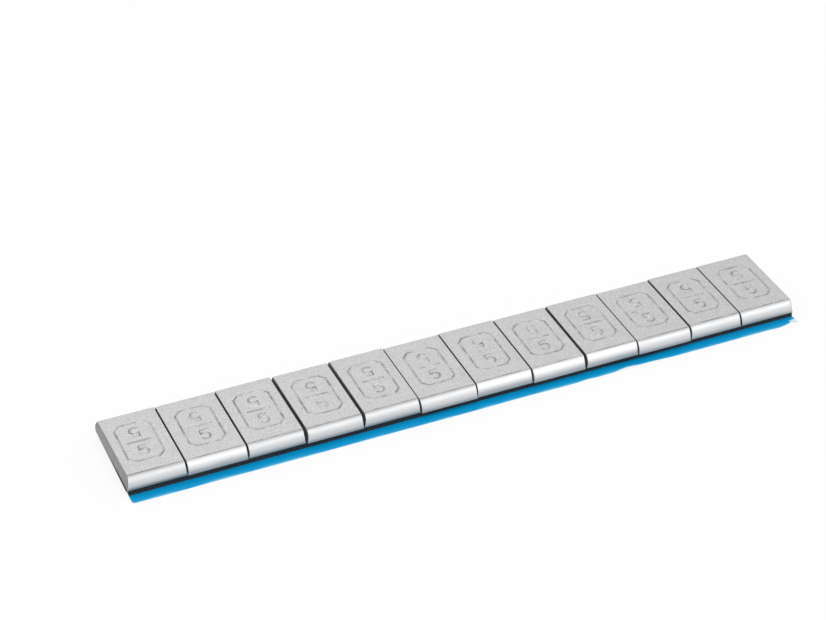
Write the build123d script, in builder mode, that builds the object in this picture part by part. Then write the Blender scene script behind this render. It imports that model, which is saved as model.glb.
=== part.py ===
"""Adhesive wheel balance weight: twelve steel segments on foam tape, with a film release liner.

The frame has +X along the strip, +Z up, and -Y towards the side where the liner stands out.
The origin is on the strip's underside, below the middle of the row. Sizes are in millimetres.
"""
import os

from build123d import *

os.makedirs("parts", exist_ok=True)

# Steel segments, sheared from a flat bar with rounded long edges
segment_count = 12
segment_pitch = 11.66
segment_width = 19.0
segment_height = 3.0
# The flat top ends in a crease this far in from the bar's widest point
crease_inset = 0.88
# The bar is widest at this height, and its flank curves in below it
belly_height = 0.4
heel_inset = 0.10
# The shear rolls over the upper edges of each cut
cut_roll = 0.10
# The first and the last cut lean in towards the top by this much
first_lean = 0.60
last_lean = 0.35

# How the segments lie: how far each cut is off its even place, the gap that each inner cut leaves,
# and how far each segment sits off the middle line
cut_offsets = (-0.15, -0.16, 0.06, -0.10, -0.06, -0.26, -0.07, 0.06, -0.10, -0.35, -0.14, -0.41, 0.0)
cut_gaps = (0.33, 0.37, 0.60, 0.63, 0.17, 0.30, 0.31, 0.58, 0.20, 0.42, 0.25)
side_shifts = (0.25, 0.10, 0.20, 0.0, 0.15, -0.20, 0.0, -0.20, -0.10, -0.25, 0.0, 0.05)

# Foam tape, a little narrower than the row of steel and laid a little to its right
tape_thickness = 1.2
tape_side_inset = 0.35
tape_shift = 0.30

# Release liner, a film with one free border that stands out past the tape
film_thickness = 0.12
border_width = 2.25
# The border's right corner is torn off in a round
border_corner = 2.0
# Lift of the border's free edge, from one end of the strip to the other
border_lifts = (
    0.15, 0.10, 0.16, 0.12, 0.10, 0.12, 0.12, 0.03, 0.09,
    0.16, 0.04, 0.14, 0.38, 0.10, 0.12, 0.14, 0.25,
)

# Places worked out from the sizes above
strip_length = segment_count * segment_pitch
cut_places = [
    cut * segment_pitch - strip_length / 2 + cut_offsets[cut % len(cut_offsets)]
    for cut in range(segment_count + 1)
]
half_gaps = [0, *[cut_gaps[cut % len(cut_gaps)] / 2 for cut in range(segment_count - 1)], 0]
tape_width = segment_width - 2 * tape_side_inset
tape_seat = film_thickness
steel_seat = tape_seat + tape_thickness
half_width = segment_width / 2


# The twelve weights
for index in range(segment_count):
    segment_start = cut_places[index] + half_gaps[index]
    segment_end = cut_places[index + 1] - half_gaps[index + 1]
    side_shift = side_shifts[index % len(side_shifts)]
    cut_plane = Plane(origin=(segment_start, side_shift, steel_seat), x_dir=(0, 1, 0), z_dir=(1, 0, 0))
    with BuildPart() as weight_segment:
        with BuildSketch(cut_plane):
            with BuildLine():
                underside = Line((0, 0), (half_width - heel_inset, 0))
                belly = (half_width, belly_height)
                heel = TangentArc(belly, underside @ 1, tangent=(0, -1))
                flank = TangentArc(belly, (half_width - crease_inset, segment_height), tangent=(0, 1))
                Line(flank @ 1, (0, segment_height))
                mirror(about=Plane.YZ)
            make_face()
        extrude(amount=segment_end - segment_start)
        if index == 0:
            outer_cut = Plane((segment_start, 0, steel_seat), z_dir=(-segment_height, 0, first_lean))
            split(bisect_by=outer_cut, keep=Keep.BOTTOM)
        if index == segment_count - 1:
            outer_cut = Plane((segment_end, 0, steel_seat), z_dir=(segment_height, 0, last_lean))
            split(bisect_by=outer_cut, keep=Keep.BOTTOM)
        faces_along = weight_segment.faces().sort_by(Axis.X)
        cut_edges = faces_along.first.edges() + faces_along.last.edges()
        upper_edges = cut_edges.filter_by(lambda edge: edge.center().Z > steel_seat + belly_height)
        chamfer(upper_edges, length=cut_roll)
    weight_segment.part.label = f"weight_segment_{index + 1:02d}"
    export_step(weight_segment.part, f"parts/{weight_segment.part.label}.step")


# Foam tape under the whole row
with BuildPart() as foam_tape:
    with BuildSketch(Plane((tape_shift, 0, tape_seat))):
        Rectangle(strip_length, tape_width)
    extrude(amount=tape_thickness)
foam_tape.part.label = "foam_tape"
export_step(foam_tape.part, "parts/foam_tape.step")


# Release liner: flat under the tape, with a border that runs from the tape's edge to a wavy free edge
border_root = -tape_width / 2
border_edge = border_root - border_width
border_start = tape_shift - strip_length / 2
border_end = tape_shift + strip_length / 2
lift_step = strip_length / (len(border_lifts) - 1)
with BuildLine() as border:
    root_line = Line((border_start, border_root), (border_end, border_root))
    free_edge = Spline([
        (border_start + station * lift_step, border_edge, lift)
        for station, lift in enumerate(border_lifts)
    ])
with BuildPart() as release_liner:
    with BuildSketch(Plane((tape_shift, 0, 0))):
        Rectangle(strip_length, tape_width)
    extrude(amount=film_thickness)
    border_face = Face.make_surface_from_curves(root_line.edge(), free_edge.edge())
    extrude(border_face, amount=film_thickness, dir=(0, 0, 1))
    with BuildSketch():
        with Locations((border_end - border_corner, border_edge + border_corner)):
            Rectangle(2 * border_corner, 2 * border_corner, align=(Align.MIN, Align.MAX))
            Circle(border_corner, mode=Mode.SUBTRACT)
    extrude(amount=film_thickness + 2 * max(border_lifts), mode=Mode.SUBTRACT)
release_liner.part.label = "release_liner"
export_step(release_liner.part, "parts/release_liner.step")
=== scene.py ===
"""Looks of an adhesive wheel balance weight: plated steel segments on foam tape, with a blue film liner.

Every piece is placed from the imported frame, in metres: +X along the strip, +Z up, and -Y towards the
side where the liner's border stands out.
"""
import math

import bmesh
import bpy
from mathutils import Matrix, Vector, noise


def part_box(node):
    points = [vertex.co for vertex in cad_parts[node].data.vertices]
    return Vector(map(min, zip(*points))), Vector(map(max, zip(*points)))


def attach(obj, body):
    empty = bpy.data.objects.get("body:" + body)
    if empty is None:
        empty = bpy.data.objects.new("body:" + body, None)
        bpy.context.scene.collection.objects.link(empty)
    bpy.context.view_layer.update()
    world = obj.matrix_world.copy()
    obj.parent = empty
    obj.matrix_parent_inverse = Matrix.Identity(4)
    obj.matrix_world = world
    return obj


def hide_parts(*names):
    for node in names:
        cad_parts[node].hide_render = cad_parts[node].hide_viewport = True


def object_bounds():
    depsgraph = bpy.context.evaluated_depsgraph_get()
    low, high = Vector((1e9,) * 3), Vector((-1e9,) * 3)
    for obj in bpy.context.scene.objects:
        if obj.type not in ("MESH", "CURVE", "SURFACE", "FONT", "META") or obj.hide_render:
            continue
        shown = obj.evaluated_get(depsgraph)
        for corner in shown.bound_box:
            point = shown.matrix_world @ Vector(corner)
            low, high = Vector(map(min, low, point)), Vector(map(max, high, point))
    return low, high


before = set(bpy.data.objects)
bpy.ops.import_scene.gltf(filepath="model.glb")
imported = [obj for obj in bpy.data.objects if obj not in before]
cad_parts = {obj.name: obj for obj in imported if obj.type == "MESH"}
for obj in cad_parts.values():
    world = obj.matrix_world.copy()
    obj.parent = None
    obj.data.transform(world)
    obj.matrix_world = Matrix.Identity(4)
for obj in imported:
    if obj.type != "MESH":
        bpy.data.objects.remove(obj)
cad_low, cad_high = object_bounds()

MM = 0.001

# Camera: a long lens above the strip's left front corner
LENS_MM = 98.53
SENSOR_MM = 36.0
EYE = (-0.147566, -0.317737, 0.268186)
LOOK_DOWN = math.radians(35.777)
LOOK_RIGHT = math.radians(23.52)

# Softboxes, all turned to the strip: name, place, width, height and how bright the face looks
SOFTBOXES = (
    ("front_softbox", (0.42, -0.90, 0.14), 1.1, 0.27, 1.28),
    ("back_softbox", (0.03, 0.80, 0.66), 0.8, 0.6, 0.33),
    ("top_softbox", (0, -0.25, 1.0), 0.8, 0.6, 2.0),
)
# The floor lies just under the strip, and this share of it is shown plain white
FLOOR_HALF = 2.0
FLOOR_DROP = 0.02 * MM
FLOOR_WHITE = 0.85
# How bright the white surroundings are as a light
AMBIENT_LIGHT = 0.85

# Section of the steel bar that the segments are sheared from
SEGMENT_COUNT = 12
STEEL_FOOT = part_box("weight_segment_01")[0].z
FRONT_CREASE = 0.76 * MM
BACK_CREASE = 0.88 * MM
BELLY_HEIGHT = 0.60 * MM
HEEL_INSET = 0.015 * MM
HEEL_STEPS = 4
FOLD_WIDTH = 0.26 * MM
FRONT_FOLD = 0.10 * MM
BACK_FOLD = 0.03 * MM
# The flank's arc is drawn in this many steps, and in fewer where the last, larger roll needs the room
FLANK_STEPS = 16
LAST_FLANK_STEPS = 7
# Edges between faces that meet at more than this are sharp
STEEL_SHARP = math.radians(30)

# The shear leaves each segment's left edges crisp and rolls its right edges over, most of all the last
CRISP_ROLL = 0.08 * MM
SOFT_ROLL = 0.14 * MM
LAST_ROLL = 0.30 * MM
ROLL_STEPS = 4
# Edges below this height aren't rolled
ROLL_FLOOR = 0.9 * BELLY_HEIGHT
# The bar is scored round this many times the roll inside a cut
SCORE_PLACE = 1.3
# The segments' right cuts lean, so that their feet lie this much further to the right
CUT_LEAN = 0.26 * MM
# How wide each gap is at its foot in millimetres, which makes wide gaps close and narrow ones open
FOOT_GAPS = (0.13, 0.19, 0.31, 0.18, 0.21, 0.10, 0.23, 0.36, 0.22, 0.31, 0.38)
# The first and the last cut lean in towards the top
FIRST_LEAN = 0.60 * MM
LAST_LEAN = 0.24 * MM
# The first cut is hollow halfway up the front flank and full at the back one
FIRST_HOLLOW = 0.16 * MM
FIRST_BULGE = 0.17 * MM
# The other segments' left cuts are hollow and full by these shares of their gap
GAP_HOLLOW = 0.30
GAP_BULGE = 0.20
# The tops of the inner cuts are askew: from front to back they run this much to the left
LEFT_SKEW = 0.21 * MM
RIGHT_SKEW = 0.07 * MM
# The first cut is twisted: towards the back its foot lies further in and its top further out
FOOT_TWIST = 0.10 * MM
TOP_TWIST = 0.31 * MM
# Gaps narrower than this close a little more towards the top
WIDE_GAP = 0.5 * MM
LEFT_REACH = 0.03 * MM

# Stamp in each top: a plain frame with a bar across it and the weight in grams in each half
STROKE_RADIUS = 0.26 * MM
STROKE_RISE = 0.11 * MM
FRAME_LENGTH = 7.0 * MM
FRAME_WIDTH = 11.0 * MM
FRAME_CORNER = 1.2 * MM
DIGIT_SIZE = 1.35 * MM
DIGIT_OFFSET = 2.75 * MM
# A figure five in units of half its height, from the right end of its flag to the end of its bowl
FIVE_CORNERS = ((0.62, 1.0), (-0.48, 1.0), (-0.58, 0.1))
FIVE_BOWL = ((0.1, 0.32), (0.66, -0.32), (0.05, -1.0), (-0.66, -0.72))

# Order of the steel's finishes on each segment
TOP, FLANK, CUT, FOLD, GAP, HEEL = range(6)
# How bright the flanks are painted from the fold down, at these depths below the top in millimetres:
# painted shade just under the fold, painted light lower down
FLANK_DEPTHS = (0.06, 0.38, 0.93, 1.25, 1.6, 2.2)
FLANK_DEPTH_END = 2.4
PAINTED_FLANK_TONES = (0.44, 0.60, 0.62, 0.67, 0.65, 0.60)
# A brighter set for some segments, painted as a broad highlight
PAINTED_HIGHLIGHT_TONES = (0.58, 0.72, 0.71, 0.75, 0.69, 0.52)
# The flanks are a little bluish
FLANK_TINT = (0.0, 0.005, 0.015)
# These segments' flanks get a painted highlight, brighter and broader from the fold down
HIGHLIGHT_PAINTED_FLANKS = (2, 7, 8, 9)
# The outer cuts get painted shade below a line between these heights, and less of it towards the back
FOOT_SHADE_LOW = 0.38 * MM
FOOT_SHADE_HIGH = 0.64 * MM
FOOT_SHADE_FADE = 4.0 * MM
# The painted shade along the heel's foot reaches this high, and is stronger on heels that lie further back
HEEL_SHADE_REACH = 0.36 * MM
FRONT_HEEL = -9.75 * MM
BACK_HEEL = -9.25 * MM

# Colours of the steel's finishes
TOP_DARK = (0.455, 0.455, 0.453)
TOP_LIGHT = (0.61, 0.61, 0.607)
# Painted shade at the foot of the outer cuts
CUT_FOOT_SHADE = (0.03, 0.03, 0.03)
CUT_DARK = (0.26, 0.26, 0.255)
CUT_LIGHT = (0.36, 0.36, 0.355)
# Painted shade along the heel's foot, then the heel's own colour
HEEL_SHADED = (0.18, 0.175, 0.17)
HEEL_UNSHADED = (0.54, 0.525, 0.50)
# The gaps' steel: oxide, darkened further as painted shade
GAP_DARK = (0.10, 0.10, 0.10)
GAP_LIGHT = (0.18, 0.18, 0.18)
# Painted shade in the fold line
FOLD_SHADE_DARK = (0.22, 0.22, 0.218)
FOLD_SHADE_LIGHT = (0.42, 0.42, 0.415)
# The stamp's grooves, darker partly as painted shade in the recess
GROOVE_DARK = (0.31, 0.31, 0.308)
GROOVE_LIGHT = (0.54, 0.54, 0.537)
# Colours of the foam, the film with its painted sheen, and the torn ear, pale as a painted highlight
FOAM_DARK = (0.008, 0.011, 0.014)
FOAM_LIGHT = (0.028, 0.034, 0.042)
FILM_BLUE = (0.0, 0.31, 0.64)
FILM_EDGE = (0.0, 0.325, 0.65)
FILM_SHEEN = (0.13, 0.49, 0.73)
EAR_BLUE = (0.45, 0.68, 0.76)
EAR_HIGHLIGHT = (0.85, 0.92, 0.94)

# The tape and the liner are cut askew at the left, so that they end this much further in at the back
ASKEW_CUT = 0.50 * MM
ASKEW_LENGTH = 3.0 * MM

# The foam's sides are drawn in halfway up, and ragged
FOAM_COLUMNS = 220
FOAM_ROWS = 4
WAIST_DEPTH = 0.10 * MM
RAGGED_DEPTH = 0.04 * MM
RAGGED_SCALE = 900

# Liner: lift of the border's free edge in millimetres, from one end of the strip to the other
BORDER_LIFTS = (
    0.15, 0.10, 0.16, 0.12, 0.10, 0.12, 0.12, 0.03, 0.09,
    0.16, 0.04, 0.14, 0.38, 0.10, 0.12, 0.14, 0.25,
)
EDGE_DROP = 0.07 * MM
FILM_THICKNESS = 0.12 * MM
FILM_SHARP = math.radians(40)
BORDER_WIDTH = 2.25 * MM
BORDER_ROWS = 8
BORDER_COLUMNS = 560
# The film gets a painted sheen in places within this width of its free edge
SHEEN_WIDTH = 1.3 * MM
# The border is torn near its right end, and its last corner is left as a pale ear, its pallor a painted
# highlight
TEAR_START = 4.4 * MM
TEAR_PLACE = 1.4 * MM
TEAR_DEPTH = 0.52 * MM
TEAR_CURVE = 1.3
EAR_LIFT = -0.15 * MM
EAR_ROOT = 0.5 * BORDER_WIDTH
LEFT_CORNER = 0.6 * MM
# Kinks of the border's free edge in millimetres: place along the strip, length to each side and lift
EDGE_KINKS = ((22.7, 2.4, 0.14), (31.4, 3.4, 0.28), (66.6, 3.4, -0.16))


def set_sockets(node, values):
    """Gives a node's input sockets constant values, under their names with _ for a space."""
    for name, value in values.items():
        node.inputs[name.replace("_", " ")].default_value = value


def add_node(tree, kind, **values):
    """A new node with constant values on its input sockets."""
    node = tree.nodes.new(kind)
    set_sockets(node, values)
    return node


def object_place(tree):
    """The place on the piece, which all textures read."""
    return tree.nodes.new("ShaderNodeTexCoord").outputs["Object"]


def ramp_node(tree, factor, *stops):
    """A colour ramp through stops of (place, colour)."""
    ramp = tree.nodes.new("ShaderNodeValToRGB")
    elements = ramp.color_ramp.elements
    while len(elements) < len(stops):
        elements.new(1.0)
    for element, (place, colour) in zip(elements, stops):
        element.position = place
        element.color = (*colour, 1.0)
    tree.links.new(factor, ramp.inputs["Fac"])
    return ramp.outputs["Color"]


def range_node(tree, value, low, high):
    """Turns a value from 0 to 1 into one from low to high."""
    node = add_node(tree, "ShaderNodeMapRange", To_Min=low, To_Max=high)
    tree.links.new(value, node.inputs["Value"])
    return node.outputs["Result"]


def place_node(tree, axis, start, end):
    """How far a place lies from start to end along one axis, as a value from 0 to 1."""
    place = tree.nodes.new("ShaderNodeSeparateXYZ")
    tree.links.new(object_place(tree), place.inputs["Vector"])
    share = add_node(tree, "ShaderNodeMapRange", From_Min=start, From_Max=end)
    tree.links.new(place.outputs[axis], share.inputs["Value"])
    return share.outputs["Result"]


def math_node(tree, operation, first, second):
    """Two values put together by a product, a maximum or the like."""
    node = tree.nodes.new("ShaderNodeMath")
    node.operation = operation
    tree.links.new(first, node.inputs[0])
    tree.links.new(second, node.inputs[1])
    return node.outputs["Value"]


def bump_node(tree, height, depth, under=None):
    """A relief of that depth, on top of another relief where one is given."""
    node = add_node(tree, "ShaderNodeBump", Distance=depth)
    tree.links.new(height, node.inputs["Height"])
    if under is not None:
        tree.links.new(under, node.inputs["Normal"])
    return node.outputs["Normal"]


def new_group(name, inputs, outputs):
    """An empty shader node group with its sockets, and its two end nodes."""
    tree = bpy.data.node_groups.new(name, "ShaderNodeTree")
    for socket, kind in inputs:
        tree.interface.new_socket(socket, in_out="INPUT", socket_type=kind)
    for socket in outputs:
        tree.interface.new_socket(socket, in_out="OUTPUT", socket_type="NodeSocketFloat")
    return tree, tree.nodes.new("NodeGroupInput"), tree.nodes.new("NodeGroupOutput")


def grain_group():
    """Fine grain and slow clouds of a surface, each as a value from 0 to 1."""
    sockets = (("Grain Scale", "NodeSocketFloat"), ("Cloud Scale", "NodeSocketFloat"))
    tree, given, made = new_group("grain_and_clouds", sockets, ("Grain", "Clouds"))
    place = object_place(tree)
    for scale, detail, out in (("Grain Scale", 3.0, "Grain"), ("Cloud Scale", 2.0, "Clouds")):
        texture = add_node(tree, "ShaderNodeTexNoise", Detail=detail)
        tree.links.new(place, texture.inputs["Vector"])
        tree.links.new(given.outputs[scale], texture.inputs["Scale"])
        tree.links.new(texture.outputs["Fac"], made.inputs[out])
    return tree


def lines_group():
    """Fine lines drawn along one axis, by stretching a noise."""
    sockets = (("Lines Per Metre", "NodeSocketVector"),)
    tree, given, made = new_group("drawn_lines", sockets, ("Lines",))
    stretch = tree.nodes.new("ShaderNodeVectorMath")
    stretch.operation = "MULTIPLY"
    tree.links.new(object_place(tree), stretch.inputs[0])
    tree.links.new(given.outputs["Lines Per Metre"], stretch.inputs[1])
    texture = add_node(tree, "ShaderNodeTexNoise", Scale=1.0, Detail=3.0)
    tree.links.new(stretch.outputs["Vector"], texture.inputs["Vector"])
    tree.links.new(texture.outputs["Fac"], made.inputs["Lines"])
    return tree


def place_group(tree, group, **values):
    """Places a shared group in a material with its own values, and gives its outputs."""
    node = tree.nodes.new("ShaderNodeGroup")
    node.node_tree = group
    set_sockets(node, values)
    return node.outputs


def new_material(name, **values):
    """A material with constant values on its shader's sockets, its node tree and its shader."""
    material = bpy.data.materials.new(name)
    material.use_nodes = True
    tree = material.node_tree
    shader = tree.nodes["Principled BSDF"]
    set_sockets(shader, values)
    return material, tree, shader


def dress_shader(tree, shader, colour, roughness, normal=None):
    """Leads a material's varying colour, roughness and relief into its shader."""
    tree.links.new(colour, shader.inputs["Base Color"])
    tree.links.new(roughness, shader.inputs["Roughness"])
    if normal is not None:
        tree.links.new(normal, shader.inputs["Normal"])


def satin_top_material(grain):
    """Zinc-plated steel with the dull, fine-grained skin of a coined face."""
    material, tree, shader = new_material("satin_plated_top", Metallic=1.0)
    skin = place_group(tree, grain, Grain_Scale=3200.0, Cloud_Scale=500.0)
    cloudy = range_node(tree, skin["Clouds"], 0.80, 1.20)
    mottle = math_node(tree, "MULTIPLY", skin["Grain"], cloudy)
    colour = ramp_node(tree, mottle, (0.35, TOP_DARK), (0.65, TOP_LIGHT))
    roughness = range_node(tree, skin["Clouds"], 0.40, 0.50)
    dress_shader(tree, shader, colour, roughness, bump_node(tree, skin["Grain"], depth=0.012 * MM))
    return material


def rolled_flank_material(name, grain, lines, tones):
    """Plated steel in painted tones from the fold down to the belly, painted shade under the fold and
    painted light below, with faint lines along the bar.
    """
    material, tree, shader = new_material(name, Metallic=1.0)
    skin = place_group(tree, grain, Grain_Scale=2600.0, Cloud_Scale=260.0)
    drawn = place_group(tree, lines, Lines_Per_Metre=(260.0, 2600.0, 2600.0))
    depth = place_node(tree, "Z", cad_high.z, cad_high.z - FLANK_DEPTH_END * MM)
    uneven = math_node(tree, "MULTIPLY", depth, range_node(tree, skin["Clouds"], 0.8, 1.2))
    stops = [
        (place / FLANK_DEPTH_END, tuple(tone + tint for tint in FLANK_TINT))
        for place, tone in zip(FLANK_DEPTHS, tones)
    ]
    colour = ramp_node(tree, uneven, *stops)
    roughness = range_node(tree, skin["Clouds"], 0.31, 0.41)
    fine = bump_node(tree, skin["Grain"], depth=0.004 * MM)
    relief = bump_node(tree, drawn["Lines"], depth=0.010 * MM, under=fine)
    dress_shader(tree, shader, colour, roughness, relief)
    return material


def sheared_cut_material(grain, lines):
    """Bare steel of a sheared cut, with the blade's upright lines and painted shade along its foot."""
    material, tree, shader = new_material("sheared_cut", Metallic=1.0)
    skin = place_group(tree, grain, Grain_Scale=2400.0, Cloud_Scale=400.0)
    drawn = place_group(tree, lines, Lines_Per_Metre=(2600.0, 2600.0, 260.0))
    # Painted shade darkens the cut's foot, less of it towards the back
    above_foot_shade = place_node(tree, "Z", STEEL_FOOT + FOOT_SHADE_LOW, STEEL_FOOT + FOOT_SHADE_HIGH)
    behind_foot_shade = place_node(tree, "Y", -FOOT_SHADE_FADE, FOOT_SHADE_FADE)
    out_of_foot_shade = math_node(tree, "MAXIMUM", above_foot_shade, behind_foot_shade)
    worn = math_node(tree, "MULTIPLY", drawn["Lines"], out_of_foot_shade)
    colour = ramp_node(tree, worn, (0.0, CUT_FOOT_SHADE), (0.35, CUT_DARK), (0.65, CUT_LIGHT))
    roughness = range_node(tree, skin["Clouds"], 0.45, 0.70)
    fine = bump_node(tree, skin["Grain"], depth=0.010 * MM)
    relief = bump_node(tree, drawn["Lines"], depth=0.030 * MM, under=fine)
    dress_shader(tree, shader, colour, roughness, relief)
    return material


def fold_material(grain):
    """Painted shade along the line where the top folds over into the flank, stronger in some places than in
    others.
    """
    material, tree, shader = new_material("folded_edge_painted_shade", Metallic=1.0)
    skin = place_group(tree, grain, Grain_Scale=2400.0, Cloud_Scale=420.0)
    colour = ramp_node(tree, skin["Clouds"], (0.35, FOLD_SHADE_DARK), (0.65, FOLD_SHADE_LIGHT))
    dress_shader(tree, shader, colour, range_node(tree, skin["Grain"], 0.50, 0.70))
    return material


def torn_gap_material(grain):
    """Steel of the cuts between two segments, torn rough and dulled by oxide, and darkened further as
    painted shade deep in the gaps.
    """
    material, tree, shader = new_material("torn_gap_oxide_and_shade")
    skin = place_group(tree, grain, Grain_Scale=2400.0, Cloud_Scale=600.0)
    colour = ramp_node(tree, skin["Clouds"], (0.3, GAP_DARK), (0.7, GAP_LIGHT))
    roughness = range_node(tree, skin["Grain"], 0.55, 0.75)
    dress_shader(tree, shader, colour, roughness, bump_node(tree, skin["Grain"], depth=0.010 * MM))
    return material


def worn_heel_material(grain):
    """Plated steel below the bar's widest point, rubbed dull by the rolls, with painted shade along its
    foot.
    """
    material, tree, shader = new_material("worn_heel_painted_shade", Metallic=1.0)
    skin = place_group(tree, grain, Grain_Scale=2600.0, Cloud_Scale=260.0)
    above_foot = place_node(tree, "Z", STEEL_FOOT - HEEL_SHADE_REACH / 2, STEEL_FOOT + HEEL_SHADE_REACH)
    set_back = place_node(tree, "Y", FRONT_HEEL, BACK_HEEL)
    out_of_heel_shade = math_node(tree, "MULTIPLY", above_foot, range_node(tree, set_back, 2.2, 0.7))
    colour = ramp_node(tree, out_of_heel_shade, (0.15, HEEL_SHADED), (0.85, HEEL_UNSHADED))
    roughness = range_node(tree, skin["Clouds"], 0.50, 0.60)
    dress_shader(tree, shader, colour, roughness, bump_node(tree, skin["Grain"], depth=0.006 * MM))
    return material


def stamped_groove_material(grain):
    """Plated steel pressed in by a worn stamp, unevenly darker than the top around it: painted shade in the
    recess, patchy like a worn stamp.
    """
    material, tree, shader = new_material("stamped_groove_painted_shade", Metallic=1.0)
    skin = place_group(tree, grain, Grain_Scale=3600.0, Cloud_Scale=620.0)
    colour = ramp_node(tree, skin["Clouds"], (0.36, GROOVE_DARK), (0.64, GROOVE_LIGHT))
    roughness = range_node(tree, skin["Grain"], 0.40, 0.60)
    dress_shader(tree, shader, colour, roughness, bump_node(tree, skin["Grain"], depth=0.012 * MM))
    return material


def foam_material(grain):
    """Black foam with open pores along its cut sides."""
    material, tree, shader = new_material("black_foam", Specular_IOR_Level=0.3)
    skin = place_group(tree, grain, Grain_Scale=2600.0, Cloud_Scale=300.0)
    pores = add_node(tree, "ShaderNodeTexVoronoi", Scale=3000.0)
    tree.links.new(object_place(tree), pores.inputs["Vector"])
    colour = ramp_node(tree, skin["Grain"], (0.3, FOAM_DARK), (0.75, FOAM_LIGHT))
    roughness = range_node(tree, skin["Clouds"], 0.60, 0.85)
    relief = bump_node(tree, pores.outputs["Distance"], depth=0.05 * MM)
    dress_shader(tree, shader, colour, roughness, relief)
    return material


def film_material(grain, lines):
    """Blue release film, smooth and a little glossy, with a painted sheen in places along its free edge."""
    material, tree, shader = new_material("blue_film", Specular_IOR_Level=0.4)
    skin = place_group(tree, grain, Grain_Scale=1800.0, Cloud_Scale=90.0)
    drawn = place_group(tree, lines, Lines_Per_Metre=(90.0, 1200.0, 1200.0))
    outwards = place_node(tree, "Y", cad_low.y + SHEEN_WIDTH, cad_low.y)
    painted_sheen = math_node(tree, "MULTIPLY", outwards, skin["Clouds"])
    colour = ramp_node(tree, painted_sheen, (0.0, FILM_BLUE), (0.38, FILM_EDGE), (0.58, FILM_SHEEN))
    roughness = range_node(tree, drawn["Lines"], 0.24, 0.40)
    dress_shader(tree, shader, colour, roughness, bump_node(tree, drawn["Lines"], depth=0.02 * MM))
    return material


def ear_film_highlight_material(grain):
    """The same film at the torn corner, pale with a painted highlight."""
    material, tree, shader = new_material("film_ear_painted_highlight")
    skin = place_group(tree, grain, Grain_Scale=1800.0, Cloud_Scale=900.0)
    colour = ramp_node(tree, skin["Clouds"], (0.35, EAR_BLUE), (0.6, EAR_HIGHLIGHT))
    dress_shader(tree, shader, colour, range_node(tree, skin["Grain"], 0.25, 0.45))
    return material


def finish_piece(name, mesh, materials, node):
    """An object for a finished mesh, riding on the strip in place of a CAD node."""
    for material in materials:
        mesh.materials.append(material)
    piece = bpy.data.objects.new(name, mesh)
    bpy.context.collection.objects.link(piece)
    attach(piece, "root")
    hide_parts(node)
    return piece


def mesh_of(name, bm):
    mesh = bpy.data.meshes.new(name)
    bm.to_mesh(mesh)
    bm.free()
    return mesh


def verts_of(parts):
    return [part for part in parts if isinstance(part, bmesh.types.BMVert)]


def everything_of(bm):
    return bm.verts[:] + bm.edges[:] + bm.faces[:]


def sort_by(parts, key):
    """Puts the vertices, edges or faces of a mesh in the falling order of a key."""
    for rank, part in enumerate(sorted(parts, key=key, reverse=True)):
        part.index = rank
    parts.sort()


def sort_parts(bm):
    """Sorts a mesh's parts by their place, so that each run goes on with the same mesh."""
    sort_by(bm.verts, lambda vert: vert.co[:])
    sort_by(bm.edges, lambda edge: sorted(vert.index for vert in edge.verts))
    sort_by(bm.faces, lambda face: sorted(vert.index for vert in face.verts))


def draw_on(bm, vert, step):
    """Draws an outline on from a vertex by one step, and gives the new vertex."""
    end = bmesh.ops.extrude_vert_indiv(bm, verts=[vert])["verts"][0]
    end.co += Vector(step)
    return end


def swing_on(bm, vert, centre, turn, steps):
    """Draws an outline on from a vertex along an arc in the plane across the strip."""
    swung = bmesh.ops.spin(bm, geom=[vert], cent=centre, axis=(1, 0, 0), angle=turn, steps=steps)
    return swung["geom_last"][0]


def arc_of(inset, rise):
    """Radius and turn of the arc that leaves a vertical and comes in by inset over a rise."""
    radius = (inset * inset + rise * rise) / (2 * inset)
    return radius, math.asin(rise / radius)


def half_section(bm, low, high, side, crease_inset, fold_depth, flank_steps):
    """One side of the bar's outline, drawn from its widest point; gives its top end and its foot."""
    flank_radius, flank_turn = arc_of(crease_inset, high.z - low.z - BELLY_HEIGHT)
    heel_radius, heel_turn = arc_of(HEEL_INSET, BELLY_HEIGHT)
    inwards = Vector((0, -side, 0))
    belly = bm.verts.new((low.x, side * (high.y - low.y) / 2, low.z + BELLY_HEIGHT))
    crease = swing_on(bm, belly, belly.co + inwards * flank_radius, side * flank_turn, flank_steps)
    heel = swing_on(bm, belly, belly.co + inwards * heel_radius, -side * heel_turn, HEEL_STEPS)
    valley = draw_on(bm, crease, (0, -side * FOLD_WIDTH / 2, -fold_depth))
    rim = draw_on(bm, valley, (0, -side * FOLD_WIDTH / 2, fold_depth))
    return rim, heel


def bar_section(bm, low, high, flank_steps):
    """The bar's section at the segment's start, as one face."""
    front_ends = half_section(bm, low, high, -1, FRONT_CREASE, FRONT_FOLD, flank_steps)
    back_ends = half_section(bm, low, high, 1, BACK_CREASE, BACK_FOLD, flank_steps)
    for ends in zip(front_ends, back_ends):
        bm.edges.new(ends)
    bmesh.ops.translate(bm, vec=(0, (low.y + high.y) / 2, 0), verts=bm.verts[:])
    return bmesh.ops.edgeloop_fill(bm, edges=bm.edges[:])["faces"][0]


def square_length(low, high, flank_steps):
    """A length of the bar with square ends."""
    bm = bmesh.new()
    section = bar_section(bm, low, high, flank_steps)
    grown = bmesh.ops.extrude_face_region(bm, geom=[section])["geom"]
    bmesh.ops.translate(bm, verts=verts_of(grown), vec=(high.x - low.x, 0, 0))
    bmesh.ops.recalc_face_normals(bm, faces=bm.faces[:])
    return bm


def lean_cut(bm, foot, outwards, lean):
    """Shears one end off along a plane that leans in towards the top."""
    slope = (outwards * (cad_high.z - foot.z), 0, lean)
    bmesh.ops.bisect_plane(bm, geom=everything_of(bm), plane_co=foot, plane_no=slope, clear_outer=True)
    sort_parts(bm)
    bmesh.ops.edgeloop_fill(bm, edges=[edge for edge in bm.edges if edge.is_boundary])


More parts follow.
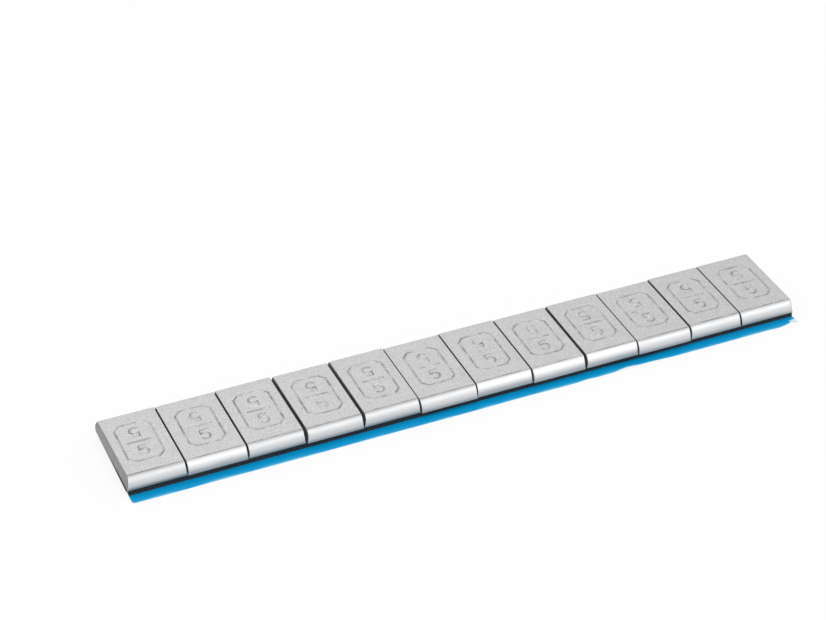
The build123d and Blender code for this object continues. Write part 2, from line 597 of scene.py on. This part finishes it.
def cut_verts(bm, place):
    """The vertices of the cut at a place along the strip."""
    return [vert for vert in bm.verts if abs(vert.co.x - place) < MM]


def shares_of(vert, low, high):
    """How far up and how far back a vertex lies in a segment, each from 0 to 1."""
    height = (vert.co.z - low.z) / (high.z - low.z)
    back = (vert.co.y - low.y) / (high.y - low.y)
    return height, back


def tilt_cut(bm, place, lean, low, high):
    """Leans one of the cuts between segments, whose top stays in place."""
    for vert in cut_verts(bm, place):
        vert.co.x += lean * (high.z - vert.co.z) / (high.z - low.z)


def twist_first_cut(bm, low, high):
    """Twists the first cut, so that towards the back it stands more upright."""
    for vert in cut_verts(bm, low.x):
        height, back = shares_of(vert, low, high)
        vert.co.x += back * (FOOT_TWIST * (1 - height) - TOP_TWIST * height)


def skew_cut(bm, place, low, high):
    """Turns the top of one of the inner cuts a little askew about its middle."""
    along = (place - cad_low.x) / (cad_high.x - cad_low.x)
    skew = LEFT_SKEW + (RIGHT_SKEW - LEFT_SKEW) * along
    for vert in cut_verts(bm, place):
        height, back = shares_of(vert, low, high)
        vert.co.x -= skew * (back - 0.5) * height


def warp_left_cut(bm, low, high, hollow, bulge):
    """Hollows a segment's left cut along the front flank, and fills it out along the back one."""
    for vert in cut_verts(bm, low.x):
        height, back = shares_of(vert, low, high)
        vert.co.x += (hollow * (1 - back) - bulge * back) * math.sin(math.pi * height)


def end_face(bm, side):
    """The face that looks most along the strip to that side."""
    return max(bm.faces, key=lambda face: face.normal.x * side)


def score_round(bm, cut_face, distance):
    """Scores the bar round inside a cut, so that the cut's roll doesn't bend the shading further in."""
    score = cut_face.calc_center_median() - cut_face.normal * distance
    bmesh.ops.bisect_plane(bm, geom=everything_of(bm), plane_co=score, plane_no=cut_face.normal)


def roll_cut(bm, side, floor, roll):
    """Rolls over the edges of the cut on one side that stand above the bar's widest point."""
    score_round(bm, end_face(bm, side), SCORE_PLACE * roll)
    rim = [e for e in end_face(bm, side).edges if min(v.co.z for v in e.verts) > floor]
    bmesh.ops.bevel(
        bm, geom=rim, offset=roll, offset_type="OFFSET", affect="EDGES",
        segments=ROLL_STEPS, profile=0.5, material=-1,
    )


def finish_of(face, foot, first, last):
    """Which of the finishes a face of a segment has, by where it looks and lies."""
    along = face.normal.x
    up = face.normal.z
    outer_end = first and along < -0.1 or last and along > 0.45
    undercut = -0.9 < up < -0.2
    left_rim = -0.95 < along < 0 and up > 0.3
    in_fold = abs(along) < 0.2 and 0.65 < up < 0.95
    between_segments = abs(along) > 0.9
    upright = abs(up) < 0.1
    if outer_end or undercut:
        return FOLD if left_rim else CUT
    if in_fold:
        return FOLD
    if between_segments:
        return GAP
    if upright and face.calc_center_median().z < foot + BELLY_HEIGHT:
        return HEEL
    return FLANK if up < 0.93 else TOP


def segment_mesh(index):
    """One segment of the bar, with rolled cuts, and its faces sorted by their finish."""
    low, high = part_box(f"weight_segment_{index:02d}")
    first = index == 1
    last = index == SEGMENT_COUNT
    if not first:
        gap_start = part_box(f"weight_segment_{index - 1:02d}")[1].x
        gap = low.x - gap_start
        if gap < WIDE_GAP:
            low = low - Vector((LEFT_REACH, 0, 0))
    bm = square_length(low, high, LAST_FLANK_STEPS if last else FLANK_STEPS)
    if first:
        lean_cut(bm, low, -1, FIRST_LEAN)
    else:
        gap_foot = gap_start + CUT_LEAN + FOOT_GAPS[index - 2] * MM
        tilt_cut(bm, low.x, gap_foot - low.x, low, high)
    if last:
        lean_cut(bm, Vector((high.x, low.y, low.z)), 1, LAST_LEAN)
    else:
        tilt_cut(bm, high.x, CUT_LEAN, low, high)
    bmesh.ops.recalc_face_normals(bm, faces=bm.faces[:])
    roll_cut(bm, -1, low.z + ROLL_FLOOR, CRISP_ROLL)
    roll_cut(bm, 1, low.z + ROLL_FLOOR, LAST_ROLL if last else SOFT_ROLL)
    if first:
        twist_first_cut(bm, low, high)
        warp_left_cut(bm, low, high, FIRST_HOLLOW, FIRST_BULGE)
    else:
        skew_cut(bm, low.x, low, high)
        warp_left_cut(bm, low, high, GAP_HOLLOW * gap, GAP_BULGE * gap)
    if not last:
        skew_cut(bm, high.x, low, high)
    bm.normal_update()
    for face in bm.faces:
        face.smooth = True
        face.material_index = finish_of(face, low.z, first, last)
    return mesh_of(f"steel_{index:02d}", bm)


def straight_stroke(strokes, corners, closed=False):
    spline = strokes.splines.new("POLY")
    spline.points.add(len(corners) - 1)
    for point, (x, y) in zip(spline.points, corners):
        point.co = (x, y, STROKE_RISE, 1.0)
    spline.use_cyclic_u = closed


def five_stroke(strokes, centre, size):
    """A figure five in one stroke; a negative size turns it upside down."""
    spline = strokes.splines.new("BEZIER")
    corners = FIVE_CORNERS + FIVE_BOWL
    spline.bezier_points.add(len(corners) - 1)
    for number, (point, (x, y)) in enumerate(zip(spline.bezier_points, corners)):
        point.co = (x * size, centre + y * size, STROKE_RISE)
        kind = "VECTOR" if number < len(FIVE_CORNERS) else "AUTO"
        point.handle_left_type = kind
        point.handle_right_type = kind


def stamp_cutter(material):
    """The stamp's strokes as round rods that lie partly below the plane of the steel's top."""
    strokes = bpy.data.curves.new("stamp_strokes", "CURVE")
    strokes.dimensions = "3D"
    strokes.bevel_depth = STROKE_RADIUS
    strokes.bevel_resolution = 2
    strokes.resolution_u = 6
    strokes.use_fill_caps = True
    x, y, corner = FRAME_LENGTH / 2, FRAME_WIDTH / 2, FRAME_CORNER
    outline = (
        (x, y - corner), (x - corner, y), (corner - x, y), (-x, y - corner),
        (-x, corner - y), (corner - x, -y), (x - corner, -y), (x, corner - y),
    )
    straight_stroke(strokes, outline, closed=True)
    straight_stroke(strokes, ((corner - x, 0), (x - corner, 0)))
    five_stroke(strokes, -DIGIT_OFFSET, DIGIT_SIZE)
    five_stroke(strokes, DIGIT_OFFSET, -DIGIT_SIZE)
    drawn = bpy.data.objects.new("stamp_strokes", strokes)
    mesh = bpy.data.meshes.new_from_object(drawn)
    bpy.data.objects.remove(drawn)
    mesh.materials.clear()
    mesh.materials.append(material)
    cutter = bpy.data.objects.new("stamp", mesh)
    bpy.context.collection.objects.link(cutter)
    return cutter


def press_stamp(piece, cutter):
    """Cuts the stamp into a segment's top and keeps the cut mesh."""
    press = piece.modifiers.new("stamp", "BOOLEAN")
    press.object = cutter
    press.solver = "EXACT"
    press.use_self = True
    press.material_mode = "TRANSFER"
    bpy.context.view_layer.update()
    depsgraph = bpy.context.evaluated_depsgraph_get()
    stamped = bpy.data.meshes.new_from_object(piece.evaluated_get(depsgraph))
    piece.modifiers.clear()
    plain = piece.data
    piece.data = stamped
    bpy.data.meshes.remove(plain)
    stamped.set_sharp_from_angle(angle=STEEL_SHARP)


def steel_segments(finishes, highlight_painted_finishes, groove):
    """The row of segments, each with the stamp pressed into its top."""
    cutter = stamp_cutter(groove)
    for index in range(1, SEGMENT_COUNT + 1):
        node = f"weight_segment_{index:02d}"
        low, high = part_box(node)
        materials = highlight_painted_finishes if index in HIGHLIGHT_PAINTED_FLANKS else finishes
        piece = finish_piece(f"steel_{index:02d}", segment_mesh(index), materials, node)
        cutter.location = ((low.x + high.x) / 2, (low.y + high.y) / 2, high.z)
        press_stamp(piece, cutter)
    bpy.data.objects.remove(cutter)


def askew_at(place, low, high):
    """How far a place near the tape's left end moves along the strip, as the end is cut askew."""
    back = (place.y - low.y) / (high.y - low.y)
    near = max(0.0, 1 - (place.x - low.x) / ASKEW_LENGTH)
    return near * ASKEW_CUT * back


def foam_tape(material):
    """The foam under the steel, its long sides drawn in a little between the two adhesive faces."""
    low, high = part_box("foam_tape")
    thickness = high.z - low.z
    bm = bmesh.new()
    bmesh.ops.create_cube(bm, size=1.0)
    bmesh.ops.scale(bm, vec=high - low, verts=bm.verts[:])
    bmesh.ops.translate(bm, vec=(low + high) / 2, verts=bm.verts[:])
    along = [e for e in bm.edges if abs(e.verts[0].co.x - e.verts[1].co.x) > MM]
    bmesh.ops.subdivide_edges(bm, edges=along, cuts=FOAM_COLUMNS, use_grid_fill=True)
    upright = [e for e in bm.edges if abs(e.verts[0].co.z - e.verts[1].co.z) > thickness / 2]
    bmesh.ops.subdivide_edges(bm, edges=upright, cuts=FOAM_ROWS, use_grid_fill=True)
    middle = (low.y + high.y) / 2
    for vert in bm.verts:
        vert.co.x += askew_at(vert.co, low, high)
        waist = math.sin(math.pi * (vert.co.z - low.z) / thickness) * WAIST_DEPTH
        ragged = (noise.noise(vert.co * RAGGED_SCALE) + 1) * RAGGED_DEPTH
        vert.co.y -= math.copysign(waist + ragged, vert.co.y - middle)
    bmesh.ops.recalc_face_normals(bm, faces=bm.faces[:])
    tape = finish_piece("foam", mesh_of("foam", bm), [material], "foam_tape")
    return tape


def lift_at(share):
    """The free edge's lift at a share of the strip's length, on a smooth curve through the given lifts."""
    place = share * (len(BORDER_LIFTS) - 1)
    first = min(int(place), len(BORDER_LIFTS) - 2)
    turn = (1 - math.cos(math.pi * (place - first))) / 2
    return (BORDER_LIFTS[first] * (1 - turn) + BORDER_LIFTS[first + 1] * turn) * MM


def kink_at(x):
    """What the kinks add to the free edge's lift at a place along the strip."""
    lift = 0.0
    for place, length, height in EDGE_KINKS:
        away = abs(x / MM - place) / length
        if away < 1:
            lift += height * MM * (1 + math.cos(math.pi * away)) / 2
    return lift


def border_reach(before, after):
    """How far the border stands out at a place that lies so far from its left and from its right end."""
    if after < TEAR_PLACE:
        torn = after / TEAR_PLACE
    else:
        torn = max(0.0, (TEAR_START - after) / (TEAR_START - TEAR_PLACE)) ** TEAR_CURVE
    missing = max(0.0, LEFT_CORNER - before)
    worn = LEFT_CORNER - math.sqrt(LEFT_CORNER ** 2 - missing ** 2)
    return BORDER_WIDTH - TEAR_DEPTH * torn - worn


def flat_border(bm, low, high):
    """Draws the border flat, row by row from the tape's front edge, and gives the edges along that edge."""
    ends = [bm.verts.new((x, low.y, 0)) for x in (low.x, high.x)]
    root_edge = bm.edges.new(ends)
    bmesh.ops.subdivide_edges(bm, edges=[root_edge], cuts=BORDER_COLUMNS - 1)
    root_edges = bm.edges[:]
    row = root_edges
    for _ in range(BORDER_ROWS):
        grown = bmesh.ops.extrude_edge_only(bm, edges=row)["geom"]
        row_verts = verts_of(grown)
        grown_edges = [part for part in grown if isinstance(part, bmesh.types.BMEdge)]
        row = [e for e in grown_edges if e.verts[0] in row_verts and e.verts[1] in row_verts]
        bmesh.ops.translate(bm, vec=(0, -BORDER_WIDTH / BORDER_ROWS, 0), verts=row_verts)
    return root_edges


def wave_border(bm, low, high):
    """Lifts the border's free edge into waves and kinks, and tears its end."""
    for vert in bm.verts:
        share = (low.y - vert.co.y) / BORDER_WIDTH
        before = vert.co.x - low.x
        after = high.x - vert.co.x
        lift = max(0.0, lift_at(before / (high.x - low.x)) - EDGE_DROP)
        bend = kink_at(vert.co.x) + EAR_LIFT * max(0.0, 1 - after / TEAR_PLACE)
        vert.co.z = max(0.0, share * lift + share * share * bend)
        vert.co.y = low.y - share * border_reach(before, after)


def release_liner(film, ear_film):
    """One film under the tape, drawn out from the tape's front edge into a border with a wavy free edge."""
    low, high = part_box("foam_tape")
    bm = bmesh.new()
    root_edges = flat_border(bm, low, high)
    wave_border(bm, low, high)
    back_verts = verts_of(bmesh.ops.extrude_edge_only(bm, edges=root_edges)["geom"])
    bmesh.ops.translate(bm, vec=(0, high.y - low.y, 0), verts=back_verts)
    for vert in back_verts:
        vert.co.x += askew_at(vert.co, low, high)
    bmesh.ops.recalc_face_normals(bm, faces=bm.faces[:])
    grown = bmesh.ops.extrude_face_region(bm, geom=bm.faces[:], use_keep_orig=True)["geom"]
    bmesh.ops.translate(bm, vec=(0, 0, FILM_THICKNESS), verts=verts_of(grown))
    bmesh.ops.recalc_face_normals(bm, faces=bm.faces[:])
    for face in bm.faces:
        face.smooth = True
        middle = face.calc_center_median()
        if middle.x > high.x - TEAR_PLACE and middle.y < low.y - EAR_ROOT:
            face.material_index = 1
    mesh = mesh_of("liner", bm)
    mesh.set_sharp_from_angle(angle=FILM_SHARP)
    liner = finish_piece("liner", mesh, [film, ear_film], "release_liner")


def seen_node(tree):
    """One for the rays that the camera sends or that a glossy surface mirrors, and nought for the rest."""
    rays = tree.nodes.new("ShaderNodeLightPath")
    return math_node(tree, "MAXIMUM", rays.outputs["Is Camera Ray"], rays.outputs["Is Glossy Ray"])


def floor_material():
    """A dull pale surface, shown mostly as plain white."""
    material, tree, shader = new_material(
        "pale_floor", Base_Color=(0.86, 0.86, 0.86, 1.0), Roughness=0.9, Specular_IOR_Level=0.1,
    )
    white = add_node(tree, "ShaderNodeEmission", Color=(1.0, 1.0, 1.0, 1.0), Strength=1.0)
    mixed = tree.nodes.new("ShaderNodeMixShader")
    tree.links.new(range_node(tree, seen_node(tree), 0.0, FLOOR_WHITE), mixed.inputs["Fac"])
    tree.links.new(shader.outputs["BSDF"], mixed.inputs[1])
    tree.links.new(white.outputs["Emission"], mixed.inputs[2])
    tree.links.new(mixed.outputs["Shader"], tree.nodes["Material Output"].inputs["Surface"])
    return material


def white_floor():
    """A wide pale floor, shown near white, that keeps part of the strip's shadow."""
    bm = bmesh.new()
    bmesh.ops.create_grid(bm, x_segments=1, y_segments=1, size=FLOOR_HALF)
    bmesh.ops.translate(bm, vec=(0, 0, -FLOOR_DROP), verts=bm.verts[:])
    floor = bpy.data.objects.new("floor", mesh_of("floor", bm))
    bpy.context.collection.objects.link(floor)
    floor.data.materials.append(floor_material())


def white_world():
    """White where it is seen or mirrored, and a softer ambient light elsewhere."""
    world = bpy.data.worlds.new("studio")
    bpy.context.scene.world = world
    world.use_nodes = True
    tree = world.node_tree
    background = tree.nodes["Background"]
    background.inputs["Color"].default_value = (1.0, 1.0, 1.0, 1.0)
    strength = range_node(tree, seen_node(tree), AMBIENT_LIGHT, 1.0)
    tree.links.new(strength, background.inputs["Strength"])


def softbox(name, place, width, height, radiance):
    """A soft area lamp that looks at the strip, given by how bright its face looks."""
    lamp = bpy.data.lights.new(name, "AREA")
    lamp.shape = "RECTANGLE"
    lamp.size = width
    lamp.size_y = height
    lamp.energy = radiance * math.pi * width * height
    holder = bpy.data.objects.new(name, lamp)
    holder.location = place
    to_strip = Vector((0, 0, 0)) - Vector(place)
    holder.rotation_euler = to_strip.to_track_quat("-Z", "Y").to_euler()
    bpy.context.collection.objects.link(holder)


def photo_camera():
    lens = bpy.data.cameras.new("photo_camera")
    lens.sensor_width = SENSOR_MM
    lens.sensor_fit = "HORIZONTAL"
    lens.lens = LENS_MM
    lens.clip_start = 0.01
    camera = bpy.data.objects.new("photo_camera", lens)
    camera.location = EYE
    camera.rotation_euler = (math.pi / 2 - LOOK_DOWN, 0, -LOOK_RIGHT)
    bpy.context.collection.objects.link(camera)
    bpy.context.scene.camera = camera


photo_camera()
grain = grain_group()
lines = lines_group()
steel_finishes = [
    satin_top_material(grain),
    rolled_flank_material("plated_flank_painted_shading", grain, lines, PAINTED_FLANK_TONES),
    sheared_cut_material(grain, lines),
    fold_material(grain),
    torn_gap_material(grain),
    worn_heel_material(grain),
]
# Some segments' flanks carry a painted highlight
highlight_painted_finishes = list(steel_finishes)
highlight_painted_finishes[FLANK] = rolled_flank_material("plated_flank_painted_highlight", grain, lines, PAINTED_HIGHLIGHT_TONES)
steel_segments(steel_finishes, highlight_painted_finishes, stamped_groove_material(grain))
tape = foam_tape(foam_material(grain))
release_liner(film_material(grain, lines), ear_film_highlight_material(grain))

white_floor()
white_world()
for box in SOFTBOXES:
    softbox(*box)
bpy.context.scene.view_settings.view_transform = "Standard"
